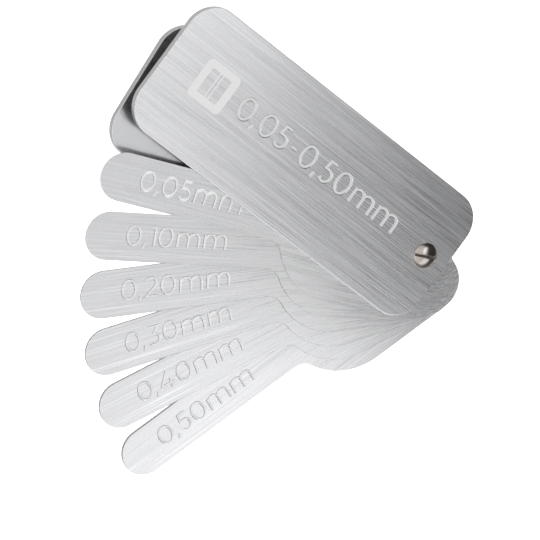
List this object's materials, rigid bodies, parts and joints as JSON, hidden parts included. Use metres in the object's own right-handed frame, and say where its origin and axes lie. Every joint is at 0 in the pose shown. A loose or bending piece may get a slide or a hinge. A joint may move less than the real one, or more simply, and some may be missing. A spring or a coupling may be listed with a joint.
{
  "type": "feeler gauge",
  "caption": "Pocket feeler gauge: thin steel leaves with round-ended tongues fan out between two flat round-cornered covers about one slotted pivot screw.",
  "frame": {"origin": "on the pivot's axis, in the plane of the flat back that the gauge lies on", "axes": "+Z along the pivot's axis, from the rear cover to the screw's head; +X along the rear cover, from the pivot to its far end; the leaves fan towards +Y"},
  "size_m": [0.0661, 0.0662, 0.005],
  "materials": {
    "polished_cover_steel": "brushed outside, smooth and bright inside",
    "brushed_cover_steel": "brushed along its length",
    "spring_steel": "fine brushed along each leaf's length, with engraved thickness numbers",
    "nickel_plate": "bright nickel plate"
  },
  "bodies": {
    "rear_body": {"rear_cover": "polished_cover_steel", "pivot_bush": "nickel_plate"},
    "leaf_0_50mm_body": {"leaf_0_50mm": "spring_steel"},
    "leaf_0_40mm_body": {"leaf_0_40mm": "spring_steel"},
    "leaf_0_30mm_body": {"leaf_0_30mm": "spring_steel"},
    "leaf_0_20mm_body": {"leaf_0_20mm": "spring_steel"},
    "leaf_0_10mm_body": {"leaf_0_10mm": "spring_steel"},
    "leaf_0_05mm_body": {"leaf_0_05mm": "spring_steel"},
    "front_body": {"front_cover": "brushed_cover_steel"},
    "screw_body": {"pivot_screw": "nickel_plate"}
  },
  "joints": [
    {"name": "leaf_0_50mm_swing", "type": "hinge", "parent": "rear_body", "child": "leaf_0_50mm_body", "pos_m": [0, 0, 0.002], "axis": [0, 0, 1], "range_deg": [-65, 115]},
    {"name": "leaf_0_40mm_swing", "type": "hinge", "parent": "rear_body", "child": "leaf_0_40mm_body", "pos_m": [0, 0, 0.002], "axis": [0, 0, 1], "range_deg": [-55, 125]},
    {"name": "leaf_0_30mm_swing", "type": "hinge", "parent": "rear_body", "child": "leaf_0_30mm_body", "pos_m": [0, 0, 0.002], "axis": [0, 0, 1], "range_deg": [-45, 135]},
    {"name": "leaf_0_20mm_swing", "type": "hinge", "parent": "rear_body", "child": "leaf_0_20mm_body", "pos_m": [0, 0, 0.002], "axis": [0, 0, 1], "range_deg": [-35, 145]},
    {"name": "leaf_0_10mm_swing", "type": "hinge", "parent": "rear_body", "child": "leaf_0_10mm_body", "pos_m": [0, 0, 0.002], "axis": [0, 0, 1], "range_deg": [-25, 155]},
    {"name": "leaf_0_05mm_swing", "type": "hinge", "parent": "rear_body", "child": "leaf_0_05mm_body", "pos_m": [0, 0, 0.002], "axis": [0, 0, 1], "range_deg": [-15, 165]},
    {"name": "front_cover_swing", "type": "hinge", "parent": "rear_body", "child": "front_body", "pos_m": [0, 0, 0.0036], "axis": [0, 0, -1], "range_deg": [-5, 175]},
    {"name": "screw_adjust", "type": "hinge", "parent": "rear_body", "child": "screw_body", "pos_m": [0, 0, 0.0042], "axis": [0, 0, 1], "range_deg": [-90, 90]}
  ]
}
